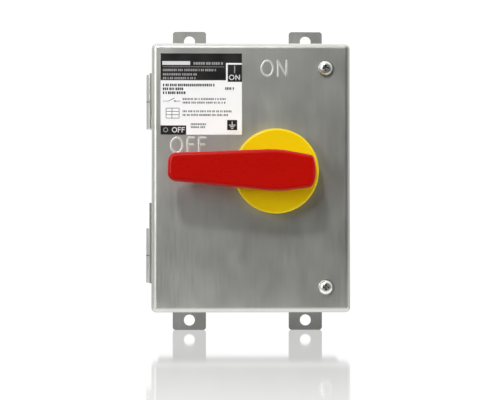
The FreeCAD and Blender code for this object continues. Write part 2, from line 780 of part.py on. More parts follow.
def lever():
    """The grip, on a narrower neck that stands on the plate."""
    grip = lever_outline(lever_back_y).extrude(FreeCAD.Vector(0, -lever_thickness, 0))
    grip = grip.makeFillet(lever_tip_corner, lever_edges(grip, lever_tip - 1, lever_tip + 1))
    grip = grip.makeFillet(lever_waist_bend, lever_edges(grip, -1, 1))
    grip = grip.makeFillet(lever_heel_corner, lever_edges(grip, -lever_heel, -lever_heel + 5))
    grip = grip.makeFillet(lever_front_edge, edges_at_y(grip, lever_front_y))
    grip = grip.makeFillet(lever_back_edge, edges_at_y(grip, lever_back_y))
    neck = block((axis_x - neck_left, axis_x + neck_right), (plate_front_y - neck_gap, lever_back_y - 2),
                 about(axis_z, neck_half))
    neck = neck.makeFillet(neck_half - 0.5, straight_edges(neck, "Y"))
    c = lock_clearance
    pocket = block((axis_x - lock_far - c, axis_x - lock_near + c), (lock_y[0] - c, lock_y[1] + c),
                   (axis_z - lever_waist_half - 1, axis_z + lock_high + c))
    hub_bore = rod("Y", handle_axis, hub_radius, (hub_front_y, plate_front_y - neck_gap))
    screw_bore = rod("Y", handle_axis, lever_screw_radius, (lever_front_y + 5, hub_front_y))
    return rested(joined([grip, neck]).cut(Part.makeCompound([pocket, hub_bore, screw_bore])))


def lock_slide():
    """A tongue that pulls out of the lever's lower flank, with a hole for a padlock."""
    tongue = block((axis_x - lock_far, axis_x - lock_near), lock_y, (axis_z + lock_low, axis_z + lock_high))
    tongue = tongue.makeFillet(2.0, [e for e in straight_edges(tongue, "Y") if e.Vertexes[0].Z < axis_z])
    hole = rod("Y", (axis_x - (lock_near + lock_far) / 2, axis_z + lock_hole_v), lock_hole_radius, lock_y)
    return rested(tongue.cut(hole))


# ---- the parts, one file each --------------------------------------------------------------------
parts = {
    "enclosure_body": enclosure_body(),
    "foot_top_left": foot(-wall_hole_x, 1),
    "foot_top_right": foot(wall_hole_x, 1),
    "foot_bottom_left": foot(-wall_hole_x, -1),
    "foot_bottom_right": foot(wall_hole_x, -1),
    "hinge_pins": hinge_pins(),
    "hinge_washers": hinge_washers(),
    "screw_brackets": screw_brackets(),
    "bracket_nuts": bracket_nuts(),
    "mounting_panel": mounting_panel(),
    "panel_studs": panel_studs(),
    "panel_nuts": panel_nuts(),
    "earth_bar": earth_bar(),
    "earth_screws": earth_screws(),
    "switch_base": switch_base(),
    "switch_housing": switch_housing(),
    "switch_head": switch_head(),
    "detent_springs": detent_springs(),
    "line_contacts": fixed_contacts(1),
    "load_contacts": fixed_contacts(-1),
    "terminal_saddles": terminal_saddles(),
    "terminal_screws": terminal_screws(),
    "phase_barriers": phase_barriers(),
    "line_shroud": line_shroud(),
    "housing_screws": housing_screws(),
    "switch_mounting_screws": switch_mounting_screws(),
    "slide_bar": slide_bar(),
    "switch_shaft": switch_shaft(),
    "shaft_pin": shaft_pin(),
    "cover": cover(),
    "cover_gasket": cover_gasket(),
    "rating_label": rating_label(),
    "handle_plate": handle_plate(),
    "handle_gasket": handle_gasket(),
    "handle_ring_nut": handle_ring_nut(),
    "interlock_plate": interlock_plate(),
    "drive_hub": drive_hub(),
    "hub_clip": hub_clip(),
    "hub_seal": hub_seal(),
    "lever_screw": lever_screw(),
    "lever": lever(),
    "lock_slide": lock_slide(),
}
for name, pole_x in poles.items():
    parts[f"rotor_{name}"] = rotor(pole_x, name == "centre")
    parts[f"blade_{name}"] = blade(pole_x)
for name, centre_z in hinge_centres.items():
    parts[f"hinge_body_leaf_{name}"] = hinge_body_leaf(centre_z)
    parts[f"hinge_cover_leaf_{name}"] = hinge_cover_leaf(centre_z, long_leaf_tail if name == "lower" else 0)
for name, screw_z in cover_screw_z.items():
    parts[f"cover_screw_{name}"] = cover_screw(screw_z)
    parts[f"cover_washer_{name}"] = cover_washer(screw_z)
    parts[f"screw_retainer_{name}"] = screw_retainer(screw_z)

os.makedirs("parts", exist_ok=True)
for name, shape in parts.items():
    solids = shape if isinstance(shape, list) else shape.Solids
    for solid in solids:
        assert solid.isValid() and solid.Volume > 0, name
    whole = solids[0] if len(solids) == 1 else Part.makeCompound(solids)
    whole.exportStep(f"parts/{name}.step")
print(len(parts), "parts")
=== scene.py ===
"""Looks, light and camera for the AC disconnect box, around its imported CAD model.

Lengths are in metres, in the CAD frame: the wall is the plane y = 0, the cover faces -Y and +Z is up.
A value whose name ends in _mm is in millimetres.
"""

import math
import random

import bmesh
import bpy
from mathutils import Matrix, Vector


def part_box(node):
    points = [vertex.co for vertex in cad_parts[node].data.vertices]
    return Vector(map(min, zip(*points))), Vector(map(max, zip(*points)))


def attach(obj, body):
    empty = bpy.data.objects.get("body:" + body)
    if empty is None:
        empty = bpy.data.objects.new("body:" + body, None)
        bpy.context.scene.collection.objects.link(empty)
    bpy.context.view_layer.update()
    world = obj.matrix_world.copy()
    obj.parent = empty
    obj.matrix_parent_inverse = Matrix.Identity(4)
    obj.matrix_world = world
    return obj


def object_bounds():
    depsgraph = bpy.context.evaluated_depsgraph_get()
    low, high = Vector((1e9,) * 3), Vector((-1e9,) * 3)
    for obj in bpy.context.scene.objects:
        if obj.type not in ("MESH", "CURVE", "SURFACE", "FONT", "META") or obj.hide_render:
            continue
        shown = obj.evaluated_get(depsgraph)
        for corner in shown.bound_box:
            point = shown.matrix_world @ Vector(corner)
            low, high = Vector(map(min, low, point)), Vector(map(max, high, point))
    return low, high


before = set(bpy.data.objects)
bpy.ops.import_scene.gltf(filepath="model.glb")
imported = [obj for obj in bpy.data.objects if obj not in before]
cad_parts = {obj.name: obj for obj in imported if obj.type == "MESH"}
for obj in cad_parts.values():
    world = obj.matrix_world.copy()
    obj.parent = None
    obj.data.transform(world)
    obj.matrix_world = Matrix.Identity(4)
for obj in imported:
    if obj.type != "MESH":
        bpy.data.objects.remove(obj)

MM = 0.001
cad_low, cad_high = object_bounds()

cover_low, cover_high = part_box("cover")
cover_face = cover_low.y
cover_centre = Vector(((cover_low.x + cover_high.x) / 2, cover_face, (cover_low.z + cover_high.z) / 2))


# --- Node helpers -------------------------------------------------------------------------------------


def new_look(name):
    """A material with one Principled shader: (material, its node tree, the shader)."""
    material = bpy.data.materials.new("look_" + name)
    material.use_nodes = True
    tree = material.node_tree
    return material, tree, tree.nodes["Principled BSDF"]


def put(tree, value, socket):
    """Links a node's output to a socket, or sets the socket to a plain value."""
    if isinstance(value, bpy.types.NodeSocket):
        tree.links.new(value, socket)
    else:
        socket.default_value = value


def pattern(tree, size_mm, stretch=(1, 1, 1), detail=3.0, shift=0.0):
    """Noise, about 0.3 to 0.7, whose features are size_mm wide and stretched along X, Y and Z."""
    coordinates = tree.nodes.new("ShaderNodeTexCoord")
    mapping = tree.nodes.new("ShaderNodeMapping")
    mapping.inputs["Scale"].default_value = [1 / (size_mm * MM * s) for s in stretch]
    mapping.inputs["Location"].default_value = (shift, shift * 0.7, shift * 1.3)
    noise = tree.nodes.new("ShaderNodeTexNoise")
    noise.inputs["Scale"].default_value = 1.0
    noise.inputs["Detail"].default_value = detail
    tree.links.new(coordinates.outputs["Object"], mapping.inputs["Vector"])
    tree.links.new(mapping.outputs["Vector"], noise.inputs["Vector"])
    return noise.outputs["Fac"]


def spread(tree, value, low, high, new_low=0.0, new_high=1.0):
    """Maps low..high to new_low..new_high, clamped."""
    node = tree.nodes.new("ShaderNodeMapRange")
    put(tree, value, node.inputs["Value"])
    node.inputs["From Min"].default_value = low
    node.inputs["From Max"].default_value = high
    node.inputs["To Min"].default_value = new_low
    node.inputs["To Max"].default_value = new_high
    return node.outputs["Result"]


def maths(tree, operation, first, second):
    node = tree.nodes.new("ShaderNodeMath")
    node.operation = operation
    put(tree, first, node.inputs[0])
    put(tree, second, node.inputs[1])
    return node.outputs[0]


def total(tree, *weighted):
    """The sum of (value, weight) pairs."""
    result = 0.0
    for value, weight in weighted:
        part = maths(tree, "MULTIPLY", value, weight)
        result = maths(tree, "ADD", part, result)
    return result


def mixed(tree, share, first, second):
    """Colour first where share is 0, and second where it is 1."""
    # Of the Mix node's sockets, 0 is the share, 6 and 7 are the colours, and output 2 is their mix.
    node = tree.nodes.new("ShaderNodeMix")
    node.data_type = "RGBA"
    put(tree, share, node.inputs[0])
    put(tree, first, node.inputs[6])
    put(tree, second, node.inputs[7])
    return node.outputs[2]


def at_edges(tree, radius_mm):
    """0 on open surfaces, rising to 1 along sharp edges."""
    bevel = tree.nodes.new("ShaderNodeBevel")
    bevel.samples = 4
    bevel.inputs["Radius"].default_value = radius_mm * MM
    geometry = tree.nodes.new("ShaderNodeNewGeometry")
    dot = tree.nodes.new("ShaderNodeVectorMath")
    dot.operation = "DOT_PRODUCT"
    tree.links.new(bevel.outputs["Normal"], dot.inputs[0])
    tree.links.new(geometry.outputs["Normal"], dot.inputs[1])
    return spread(tree, dot.outputs["Value"], 0.995, 0.85)


def in_hollows(tree, reach_mm):
    """0 on open surfaces, rising to 1 down in narrow hollows."""
    shade = tree.nodes.new("ShaderNodeAmbientOcclusion")
    shade.samples = 8
    shade.inputs["Distance"].default_value = reach_mm * MM
    return spread(tree, shade.outputs["AO"], 0.85, 0.35)


def set_bump(tree, shader, height, depth_mm):
    bump = tree.nodes.new("ShaderNodeBump")
    bump.inputs["Distance"].default_value = depth_mm * MM
    tree.links.new(height, bump.inputs["Height"])
    tree.links.new(bump.outputs["Normal"], shader.inputs["Normal"])


def grey(level, warm=0.0):
    """A linear grey; warm above 0 leans to yellow and below 0 to blue."""
    return (level * (1 + warm), level, level * (1 - warm), 1.0)


def steel(level):
    """Stainless steel's slightly greenish grey."""
    return (level * 0.985, level, level * 0.935, 1.0)


# --- Families of material ------------------------------------------------------------------------------


def brushed(name, dark, light, roughness, grain, grain_mm=0.45, cloud_mm=40.0):
    """Sheet metal brushed one way. grain is how far the scratches are drawn out along X, Y and Z."""
    material, tree, shader = new_look(name)
    fine = pattern(tree, grain_mm, grain, 3.0)
    bands = pattern(tree, grain_mm * 5, grain, 2.0, 3.1)
    clouds = pattern(tree, cloud_mm, (1, 1, 1.3), 2.0, 7.7)
    tone = total(tree, (fine, 0.25), (bands, 0.25), (clouds, 0.5))
    sheet = mixed(tree, spread(tree, tone, 0.34, 0.66), dark, light)
    worn = maths(tree, "MULTIPLY", at_edges(tree, 0.5), spread(tree, fine, 0.3, 0.7, 0.2, 0.9))
    tree.links.new(mixed(tree, worn, sheet, grey(0.72)), shader.inputs["Base Color"])
    shader.inputs["Metallic"].default_value = 1.0
    streak = total(tree, (fine, 0.6), (clouds, 0.4))
    rough = spread(tree, streak, 0.35, 0.65, roughness - 0.03, roughness + 0.04)
    put(tree, rough, shader.inputs["Roughness"])
    set_bump(tree, shader, total(tree, (fine, 0.8), (bands, 0.2)), 0.004)
    return material


def plated(name, dark, light, roughness, tarnish_mm=3.0):
    """Small turned or pressed metal: fine tool marks, tarnish, bright edges, and painted shade in its
    hollows.
    """
    material, tree, shader = new_look(name)
    tarnish = pattern(tree, tarnish_mm, (1, 1, 1), 4.0)
    marks = pattern(tree, 0.25, (1, 3, 1), 2.0, 5.3)
    tone = total(tree, (tarnish, 0.7), (marks, 0.3))
    base = mixed(tree, spread(tree, tone, 0.36, 0.6), dark, light)
    bright = tuple(min(1.0, channel * 1.25 + 0.05) for channel in light[:3]) + (1.0,)
    worn = maths(tree, "MULTIPLY", at_edges(tree, 0.25), 0.7)
    clean = mixed(tree, worn, base, bright)
    # Painted shade: the colour darkens to near black down in hollows such as screw recesses.
    painted_hollow_shade = maths(tree, "MULTIPLY", in_hollows(tree, 1.6), 0.9)
    tree.links.new(mixed(tree, painted_hollow_shade, clean, grey(0.03, 0.1)), shader.inputs["Base Color"])
    shader.inputs["Metallic"].default_value = 1.0
    put(tree, spread(tree, tone, 0.36, 0.64, roughness + 0.1, roughness - 0.06), shader.inputs["Roughness"])
    set_bump(tree, shader, marks, 0.01)
    return material


def moulded(name, dark, light, edge, roughness, texture_mm=0.5, texture_depth_mm=0.02, specular=0.4):
    """Moulded plastic: a fine spark-eroded texture, faint flow marks, and edges lightened partly by rub wear
    and partly as a painted highlight.
    """
    material, tree, shader = new_look(name)
    skin = pattern(tree, texture_mm, (1, 1, 1), 3.0)
    flow = pattern(tree, 22.0, (1.6, 1, 1), 2.0, 4.2)
    scuffs = pattern(tree, 2.0, (3, 1, 1), 3.0, 9.5)
    tone = total(tree, (skin, 0.3), (flow, 0.7))
    base = mixed(tree, spread(tree, tone, 0.35, 0.65), dark, light)
    # Edges lean to the edge colour: partly rub wear where the scuffs reach, partly a painted highlight along
    # every edge.
    worn = maths(tree, "MULTIPLY", at_edges(tree, 0.8), spread(tree, scuffs, 0.35, 0.65, 0.1, 0.6))
    tree.links.new(mixed(tree, worn, base, edge), shader.inputs["Base Color"])
    rough = total(tree, (skin, 0.4), (scuffs, 0.6))
    put(tree, spread(tree, rough, 0.35, 0.65, roughness - 0.02, roughness + 0.04), shader.inputs["Roughness"])
    shader.inputs["Specular IOR Level"].default_value = specular
    set_bump(tree, shader, skin, texture_depth_mm)
    return material


# --- One function for each material --------------------------------------------------------------------


def steel_cover():
    return brushed("steel_cover", steel(0.57), steel(0.63), 0.40, (1, 1, 40), 0.45, 20.0)


def steel_box():
    return brushed("steel_box", steel(0.52), steel(0.62), 0.38, (1, 60, 60), 0.5, 45.0)


def steel_foot():
    return brushed("steel_foot", steel(0.41), steel(0.49), 0.42, (1, 1, 30), 0.4, 12.0)


def hinge_steel():
    return brushed("hinge_steel", steel(0.54), steel(0.64), 0.36, (1, 1, 30), 0.35, 9.0)


def slide_steel():
    return brushed("slide_steel", grey(0.45), grey(0.6), 0.3, (1, 1, 25), 0.3, 6.0)


def panel_paint():
    """Zinc-plated sub-panel with a faint spangle."""
    material, tree, shader = new_look("panel_paint")
    coordinates = tree.nodes.new("ShaderNodeTexCoord")
    cells = tree.nodes.new("ShaderNodeTexVoronoi")
    cells.inputs["Scale"].default_value = 220.0
    tree.links.new(coordinates.outputs["Object"], cells.inputs["Vector"])
    clouds = pattern(tree, 14.0)
    facet = maths(tree, "MULTIPLY", cells.outputs["Color"], 0.5)
    tone = total(tree, (facet, 0.6), (clouds, 0.7))
    base = mixed(tree, spread(tree, tone, 0.3, 0.75), grey(0.46, -0.02), grey(0.68, -0.01))
    tree.links.new(mixed(tree, at_edges(tree, 0.6), base, grey(0.8)), shader.inputs["Base Color"])
    shader.inputs["Metallic"].default_value = 0.9
    put(tree, spread(tree, tone, 0.3, 0.75, 0.5, 0.34), shader.inputs["Roughness"])
    set_bump(tree, shader, pattern(tree, 0.6, (1, 1, 1), 4.0, 2.0), 0.01)
    return material


def pin_steel():
    return plated("pin_steel", grey(0.42), grey(0.62), 0.28, 4.0)


def bright_steel():
    return plated("bright_steel", steel(0.74), steel(0.88), 0.30, 3.0)


def spring_steel():
    return plated("spring_steel", grey(0.30, -0.04), grey(0.46, -0.02), 0.3, 2.5)


def zinc():
    return plated("zinc", (0.52, 0.53, 0.50, 1), (0.70, 0.70, 0.66, 1), 0.32, 3.5)


def washer_brass():
    return plated("washer_brass", (0.13, 0.10, 0.06, 1), (0.22, 0.17, 0.09, 1), 0.4, 2.0)


def bar_brass():
    return plated("bar_brass", (0.56, 0.38, 0.14, 1), (0.80, 0.58, 0.25, 1), 0.26, 5.0)


def copper():
    return plated("copper", (0.52, 0.22, 0.12, 1), (0.86, 0.44, 0.28, 1), 0.28, 4.0)


def green_screw():
    return plated("green_screw", (0.04, 0.22, 0.08, 1), (0.08, 0.36, 0.14, 1), 0.34, 2.0)


def red_plastic():
    dark = (0.47, 0.0026, 0.0003, 1)
    light = (0.50, 0.0030, 0.0004, 1)
    # The lighter edge colour is partly rub wear and partly a painted highlight.
    edge_wear_and_highlight = (0.70, 0.06, 0.04, 1)
    return moulded("red_plastic", dark, light, edge_wear_and_highlight, 0.28, 0.6, 0.004, 0.2)


def yellow_plastic():
    dark = (0.84, 0.61, 0.001, 1)
    light = (0.88, 0.66, 0.002, 1)
    # The lighter edge colour is partly rub wear and partly a painted highlight.
    edge_wear_and_highlight = (0.92, 0.76, 0.06, 1)
    return moulded("yellow_plastic", dark, light, edge_wear_and_highlight, 0.25, 0.6, 0.01, 0.25)


def black_plastic():
    return moulded("black_plastic", grey(0.012), grey(0.022), grey(0.05), 0.45)


def dark_moulding():
    return moulded("dark_moulding", grey(0.020), grey(0.034), grey(0.07), 0.5)


def grey_moulding():
    return moulded("grey_moulding", grey(0.17, 0.01), grey(0.22, 0.01), grey(0.32), 0.48)


def white_moulding():
    return moulded("white_moulding", grey(0.62, 0.03), grey(0.72, 0.02), grey(0.8), 0.42)


def black_rubber():
    """Closed-cell foam and moulded rubber: matt, with small pores."""
    material, tree, shader = new_look("black_rubber")
    pores = pattern(tree, 0.35, (1, 1, 1), 4.0)
    dust = pattern(tree, 9.0, (1, 1, 1), 3.0, 6.6)
    tone = total(tree, (pores, 0.6), (dust, 0.4))
    base = mixed(tree, spread(tree, tone, 0.38, 0.62), grey(0.010), grey(0.028))
    put(tree, base, shader.inputs["Base Color"])
    put(tree, spread(tree, pores, 0.35, 0.65, 0.95, 0.75), shader.inputs["Roughness"])
    shader.inputs["Specular IOR Level"].default_value = 0.25
    set_bump(tree, shader, pores, 0.08)
    return material


def clear_guard():
    """Clear polycarbonate, a little smoky, with fine hairline scratches."""
    material, tree, shader = new_look("clear_guard")
    hairlines = pattern(tree, 0.3, (25, 1, 1), 2.0)
    haze = pattern(tree, 12.0, (1, 1, 1), 2.0, 8.8)
    tint = mixed(tree, spread(tree, haze, 0.35, 0.65), grey(0.80, -0.02), grey(0.92, -0.01))
    put(tree, tint, shader.inputs["Base Color"])
    put(tree, spread(tree, hairlines, 0.4, 0.62, 0.06, 0.2), shader.inputs["Roughness"])
    shader.inputs["Transmission Weight"].default_value = 0.92
    shader.inputs["IOR"].default_value = 1.5
    set_bump(tree, shader, hairlines, 0.004)
    return material


def ink(name, dark, light, roughness):
    """Printed film: an even colour with the faint grain of the film under it."""
    material, tree, shader = new_look(name)
    fibre = pattern(tree, 0.5, (1, 1, 1), 4.0)
    patches = pattern(tree, 11.0, (1, 1, 1), 2.0, 1.9)
    tone = total(tree, (fibre, 0.5), (patches, 0.5))
    put(tree, mixed(tree, spread(tree, tone, 0.38, 0.62), dark, light), shader.inputs["Base Color"])
    rough = spread(tree, patches, 0.35, 0.65, roughness - 0.06, roughness + 0.06)
    put(tree, rough, shader.inputs["Roughness"])
    shader.inputs["Specular IOR Level"].default_value = 0.3
    set_bump(tree, shader, fibre, 0.004)
    return material


def legend_steel():
    """The raised legends: the cover's steel, left matt by the blasting mask."""
    material, tree, shader = new_look("legend_steel")
    frost = pattern(tree, 0.5, (1, 1, 1), 3.0)
    clouds = pattern(tree, 8.0, (1, 1, 1), 2.0, 3.3)
    tone = total(tree, (frost, 0.5), (clouds, 0.5))
    base = mixed(tree, spread(tree, tone, 0.35, 0.65), steel(0.74), steel(0.84))
    put(tree, base, shader.inputs["Base Color"])
    shader.inputs["Metallic"].default_value = 1.0
    put(tree, spread(tree, frost, 0.35, 0.65, 0.44, 0.52), shader.inputs["Roughness"])
    set_bump(tree, shader, frost, 0.01)
    return material


def label_film():
    return ink("label_film", (0.96, 0.975, 0.98, 1), (0.98, 0.995, 1.0, 1), 0.42)


def label_black():
    return ink("label_black", grey(0.010), grey(0.018), 0.38)


def label_white():
    return ink("label_white", grey(0.68), grey(0.78), 0.42)


def label_grey():
    return ink("label_grey", grey(0.30), grey(0.38), 0.42)


def label_fine():
    return ink("label_fine", grey(0.12), grey(0.16), 0.42)


def weld_metal():
    """TIG weld: bright ripples with straw and blue heat tint beside them."""
    material, tree, shader = new_look("weld_metal")
    ripple = pattern(tree, 0.6, (1, 1, 1), 3.0)
    heat = pattern(tree, 5.0, (1, 1, 1), 2.0, 2.7)
    tinted = mixed(tree, spread(tree, heat, 0.35, 0.65), (0.44, 0.36, 0.25, 1), (0.38, 0.40, 0.46, 1))
    put(tree, mixed(tree, spread(tree, ripple, 0.35, 0.65), tinted, grey(0.62)), shader.inputs["Base Color"])
    shader.inputs["Metallic"].default_value = 1.0
    put(tree, spread(tree, ripple, 0.35, 0.65, 0.42, 0.26), shader.inputs["Roughness"])
    set_bump(tree, shader, ripple, 0.05)
    return material


CAD_LOOKS = (
    steel_cover, steel_box, steel_foot, hinge_steel, slide_steel, panel_paint, pin_steel, bright_steel,
    spring_steel, zinc, washer_brass, bar_brass, copper, green_screw, red_plastic, yellow_plastic,
    black_plastic, dark_moulding, grey_moulding, white_moulding, black_rubber, clear_guard, label_film,
)


def dress_cad_nodes():
    """Gives each CAD node the look that its material slot is named after."""
    looks = {make.__name__: make() for make in CAD_LOOKS}
    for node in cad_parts.values():
        for material_slot in node.material_slots:
            material_slot.material = looks[material_slot.material.name.split(".")[0]]


# --- Mesh helpers --------------------------------------------------------------------------------------


def new_piece(name, mesh_data, material, body, smooth=False):
    """Makes the object from a bmesh, which it frees, and ties it to its body and slot."""
    bmesh.ops.recalc_face_normals(mesh_data, faces=mesh_data.faces)
    mesh = bpy.data.meshes.new(name)
    mesh_data.to_mesh(mesh)
    mesh_data.free()
    mesh.polygons.foreach_set("use_smooth", [smooth] * len(mesh.polygons))
    piece = bpy.data.objects.new(name, mesh)
    bpy.context.scene.collection.objects.link(piece)
    mesh.materials.append(material)
    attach(piece, body)


def add_prism(mesh_data, outline, back, front):
    """A closed solid on an outline of (x, z) points, from y = back to y = front."""
    rear = [mesh_data.verts.new((x, back, z)) for x, z in outline]
    face = [mesh_data.verts.new((x, front, z)) for x, z in outline]
    mesh_data.faces.new(rear)
    mesh_data.faces.new(face)
    for index in range(len(outline)):
        after = (index + 1) % len(outline)
        mesh_data.faces.new((rear[index], rear[after], face[after], face[index]))


def add_ring(mesh_data, centre, outer, inner, back, front, steps=40):
    """A closed flat ring. outer and inner are (half width, half height)."""
    loops = []
    for radii, y in ((outer, back), (inner, back), (inner, front), (outer, front)):
        loop = []
        for step in range(steps):
            angle = 2 * math.pi * step / steps
            x = centre[0] + radii[0] * math.cos(angle)
            z = centre[1] + radii[1] * math.sin(angle)
            loop.append(mesh_data.verts.new((x, y, z)))
        loops.append(loop)
    for first, second in zip(loops, loops[1:] + loops[:1]):
        for step in range(steps):
            after = (step + 1) % steps
            mesh_data.faces.new((first[step], first[after], second[after], second[step]))


def bar_outline(start, end, width):
    """The corners of a straight bar from start to end."""
    run = (Vector(end) - Vector(start)).normalized()
    side = Vector((-run.y, run.x)) * (width / 2)
    return [Vector(start) + side, Vector(end) + side, Vector(end) - side, Vector(start) - side]


# --- Rating label print --------------------------------------------------------------------------------

label_low, label_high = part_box("rating_label")
label_left = label_low.x
label_top = label_high.z
label_face = label_low.y
label_width_mm = (label_high.x - label_low.x) / MM
label_height_mm = (label_high.z - label_low.z) / MM
ink_height = 0.03 * MM
ink_root = 0.01 * MM

# Marks on the label are placed right of its left edge and below its top.
header_depth_mm = 20.6
on_box_left_mm = 50.0
on_box_top_mm = 7.3
on_box_bottom_mm = 21.8
outline_mm = 1.3
off_box_right_mm = 19.6
off_box_top_mm = 55.2

# Boxes are (left, top, right, bottom) and rules are (start, end), each end (across, down), in millimetres.
name_bar = (1.3, 6.0, 22.6, 8.9)
earth_box = (50.9, 51.0, 58.6, 58.7)
header_rule = ((1.8, 10.3), (48.6, 10.3))
on_mark = ((56.6, 9.4), (56.6, 15.2))

# Each row of small print is (distance below the label's top, left end, right end), in millimetres.
title_rows = ((7.7, 25.2, 48.3),)
header_rows = ((12.8, 1.8, 42.7), (16.1, 1.8, 28.1), (19.0, 1.8, 27.0))
rating_rows = ((24.3, 1.8, 41.5), (27.2, 1.8, 18.4), (30.2, 1.8, 20.4), (26.9, 49.4, 57.3))
note_rows = (
    (35.0, 16.9, 49.7), (37.7, 16.9, 49.7), (44.4, 16.9, 54.4),
    (47.2, 16.9, 51.6), (54.3, 23.1, 35.1), (56.5, 23.1, 34.0),
)


class Print:
    """Marks of one colour on the label, in millimetres right of its left edge and below its top."""

    def __init__(self, layer):
        self.mesh_data = bmesh.new()
        self.back = label_face + ink_root - layer * ink_height
        self.front = label_face - (layer + 1) * ink_height

    def point(self, across, down):
        return (label_left + across * MM, label_top - down * MM)

    def box(self, left, top, right, bottom):
        corners = ((left, top), (right, top), (right, bottom), (left, bottom))
        outline = [self.point(*corner) for corner in corners]
        add_prism(self.mesh_data, outline, self.back, self.front)

    def stroke(self, start, end, width):
        outline = bar_outline(self.point(*start), self.point(*end), width * MM)
        add_prism(self.mesh_data, outline, self.back, self.front)

    def ring(self, across, down, outer, inner):
        """outer and inner are (half width, half height) in millimetres."""
        outer = (outer[0] * MM, outer[1] * MM)
        inner = (inner[0] * MM, inner[1] * MM)
        add_ring(self.mesh_data, self.point(across, down), outer, inner, self.back, self.front)

    def small_print(self, rows, height, shortest, longest, seed):
        """Rows of short bars, which stand for words without being any."""
        dice = random.Random(seed)
        for down, left, right in rows:
            across = left
            while across < right - shortest:
                length = min(dice.uniform(shortest, longest), right - across)
                self.box(across, down - height / 2, across + length, down + height / 2)
                across += length + dice.choice((0.4, 0.4, 0.4, 1.0))

    def finish(self, name, material):
        new_piece(name, self.mesh_data, material, "door")


def letter_n(page, left, top, width, height, line):
    half = line / 2
    page.stroke((left + half, top), (left + half, top + height), line)
    page.stroke((left + half, top + half * 0.6), (left + width - half, top + height - half * 0.6), line)
    page.stroke((left + width - half, top), (left + width - half, top + height), line)


def letter_f(page, left, top, width, height, line):
    half = line / 2
    page.stroke((left + half, top), (left + half, top + height), line)
    page.stroke((left + line, top + half), (left + width, top + half), line)
    page.stroke((left + line, top + height * 0.48), (left + width * 0.9, top + height * 0.48), line)


def letter_o(page, left, top, width, height, line):
    outer = (width / 2, height / 2)
    inner = (width / 2 - line, height / 2 - line)
    page.ring(left + width / 2, top + height / 2, outer, inner)


def label_black_print():
    """Header, the two position boxes, the earth mark and the darker rows."""
    page = Print(0)
    page.box(0.0, 0.0, label_width_mm, on_box_top_mm)
    page.box(0.0, on_box_top_mm, on_box_left_mm, header_depth_mm)
    page.box(on_box_left_mm + outline_mm, on_box_top_mm + outline_mm, label_width_mm, on_box_bottom_mm)
    page.box(0.0, off_box_top_mm, off_box_right_mm, label_height_mm)
    page.small_print(rating_rows, height=2.0, shortest=0.8, longest=1.3, seed=11)
    page.box(*earth_box)
    switch_symbol(page)
    rating_table(page)
    page.finish("label_print_black", label_black())


def switch_symbol(page):
    """The usual sign of an open switch: two leads, a terminal and a raised blade."""
    lead_down = 36.6
    lead_line = 0.35
    blade_line = 0.45
    pivot = (6.0, lead_down)
    blade_tip = (10.6, lead_down - 2.4)
    page.stroke((1.9, lead_down), pivot, lead_line)
    page.stroke(pivot, blade_tip, blade_line)
    page.ring(10.9, lead_down, (0.75, 0.75), (0.4, 0.4))
    page.stroke((11.6, lead_down), (15.2, lead_down), lead_line)


def rating_table(page):
    """A small empty table of ratings."""
    left, right, top, bottom = 4.2, 14.2, 42.0, 49.6
    row_shares = (0.0, 0.33, 0.66, 1.0)
    column_shares = (0.0, 0.45, 1.0)
    line = 0.4
    for share in row_shares:
        down = top + (bottom - top) * share
        page.stroke((left, down), (right, down), line)
    for share in column_shares:
        across = left + (right - left) * share
        page.stroke((across, top), (across, bottom), line)


def label_grey_print():
    """The finer rows and the lighter marks on black."""
    page = Print(0)
    page.small_print(note_rows, height=1.5, shortest=0.6, longest=1.1, seed=23)
    raised = Print(1)
    raised.small_print(header_rows, height=1.7, shortest=0.7, longest=1.2, seed=31)
    raised.small_print(title_rows, height=2.0, shortest=0.9, longest=1.6, seed=37)
    raised.stroke(*header_rule, 0.3)
    raised.stroke(*on_mark, 0.8)
    letter_o(raised, left=2.0, top=56.7, width=3.7, height=3.7, line=0.6)
    page.finish("label_print_fine", label_fine())
    raised.finish("label_print_grey", label_grey())


def label_white_print():
    """The white marks on black: the bar in place of a name, the position words and the earth sign."""
    on_top = 16.3
    off_top = 56.5
    height = 4.1
    line = 0.68
    thin_line = 0.65
    page = Print(1)
    page.box(*name_bar)
    letter_o(page, 52.3, on_top, 4.2, height, line)
    letter_n(page, 57.2, on_top, 3.5, height, line)
    letter_o(page, 8.6, off_top, 4.1, height, line)
    letter_f(page, 13.2, off_top, 2.4, height, thin_line)
    letter_f(page, 16.1, off_top, 2.4, height, thin_line)
    earth_sign(page)
    page.finish("label_print_white", label_white())


def earth_sign(page):
    """The usual earth symbol: a stem over three bars, each shorter than the one above it."""
    line = 0.6
    stem = 54.75
    bars = ((54.9, 52.3, 57.2), (56.1, 53.1, 56.4), (57.3, 53.9, 55.6))
    page.stroke((stem, 52.2), (stem, bars[0][0]), line)
    for down, left, right in bars:
        page.stroke((left, down), (right, down), line)


# --- Raised ON and OFF legends on the cover -------------------------------------------------------------

legend_height_mm = 13.3
legend_line_mm = 1.9
legend_relief_mm = 0.13
legend_root_mm = 0.25
relief_steps = 5
crown_share = 0.30
crossbar_share = 0.53

# Legends are placed from the cover's middle. Each letter is (letter, left end, width), in millimetres.
on_bottom_mm = 77.0
off_bottom_mm = 18.0
on_letters = (("O", 7.3, 10.6), ("N", 19.8, 8.6))
off_letters = (("O", -62.0, 10.6), ("F", -49.3, 6.8), ("F", -40.6, 6.8))


def relief_levels():
    """(inset, height) pairs of a rounded crown, in metres."""
    levels = [(0.0, -legend_root_mm * MM)]
    for step in range(relief_steps):
        angle = (math.pi / 2) * step / (relief_steps - 1)
        inset = (1 - math.cos(angle)) * legend_line_mm * crown_share * MM
        levels.append((inset, math.sin(angle) * legend_relief_mm * MM))
    return levels


